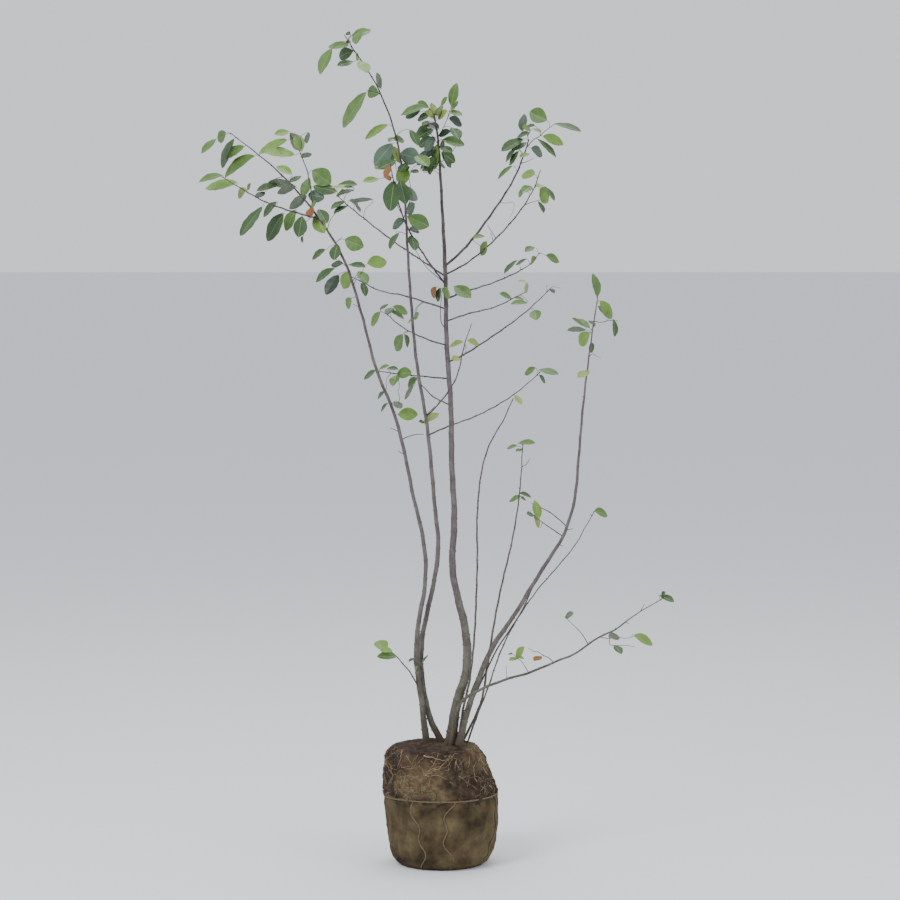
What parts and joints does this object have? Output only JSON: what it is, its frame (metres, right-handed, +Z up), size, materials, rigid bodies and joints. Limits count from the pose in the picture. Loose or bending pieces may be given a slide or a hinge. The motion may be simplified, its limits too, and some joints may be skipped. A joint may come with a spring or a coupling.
{
  "type": "juneberry",
  "caption": "Young multi-stemmed juneberry, sparsely leaved, on slender bent stems that rise from a wrapped root ball it stands on.",
  "frame": {"origin": "middle of the root ball's flat underside", "axes": "+Z up, +X to the right as seen from the front, -Y towards the front"},
  "size_m": [1.1308, 0.7468, 1.9864],
  "materials": {
    "bark": "matte",
    "young_bark": "matte",
    "leaf": "satin",
    "earth": "matte"
  },
  "bodies": {
    "root": {"bough_centre_front": "young_bark", "bough_left_back": "young_bark", "bough_left_high": "young_bark", "bough_left_inner": "young_bark", "bough_left_mid": "young_bark", "bough_left_mid_front": "young_bark", "bough_left_short": "young_bark", "bough_left_side": "young_bark", "bough_left_upper": "young_bark", "bough_low_right": "bark", "bough_right_high": "young_bark", "bough_right_leader": "young_bark", "bough_right_low": "young_bark", "bough_right_mid": "young_bark", "bough_right_upper": "young_bark", "bough_right_upper_front": "young_bark", "mass_centre": "leaf", "mass_crown_tip": "leaf", "mass_inner_stem_top": "leaf", "mass_leader": "leaf", "mass_left_back": "leaf", "mass_left_heart": "leaf", "mass_left_high": "leaf", "mass_left_inner": "leaf", "mass_left_mid": "leaf", "mass_left_mid_front": "leaf", "mass_left_side_high": "leaf", "mass_left_side_low": "leaf", "mass_left_side_tip": "leaf", "mass_left_stem_left": "leaf", "mass_left_stem_low": "leaf", "mass_left_stem_right": "leaf", "mass_left_tip": "leaf", "mass_left_under": "leaf", "mass_left_upper": "leaf", "mass_low_left": "leaf", "mass_low_right_mid": "leaf", "mass_low_right_tip": "leaf", "mass_right_high": "leaf", "mass_right_leader": "leaf", "mass_right_low": "leaf", "mass_right_mid": "leaf", "mass_right_stem_low": "leaf", "mass_right_stem_top": "leaf", "mass_right_upper": "leaf", "mass_right_upper_front": "leaf", "mass_shoot_right_tip": "leaf", "mass_slender_tip": "leaf", "root_ball": "earth", "shoot_low_left": "young_bark", "shoot_right": "young_bark", "stem_left_inner": "bark", "stem_left_outer_lower": "bark", "stem_left_outer_upper": "bark", "stem_right": "bark", "stem_slender_back": "young_bark", "stem_slender_front": "young_bark", "trunk": "bark", "twig_right_stem_lower": "young_bark", "twig_right_stem_upper": "young_bark"}
  },
  "joints": []
}
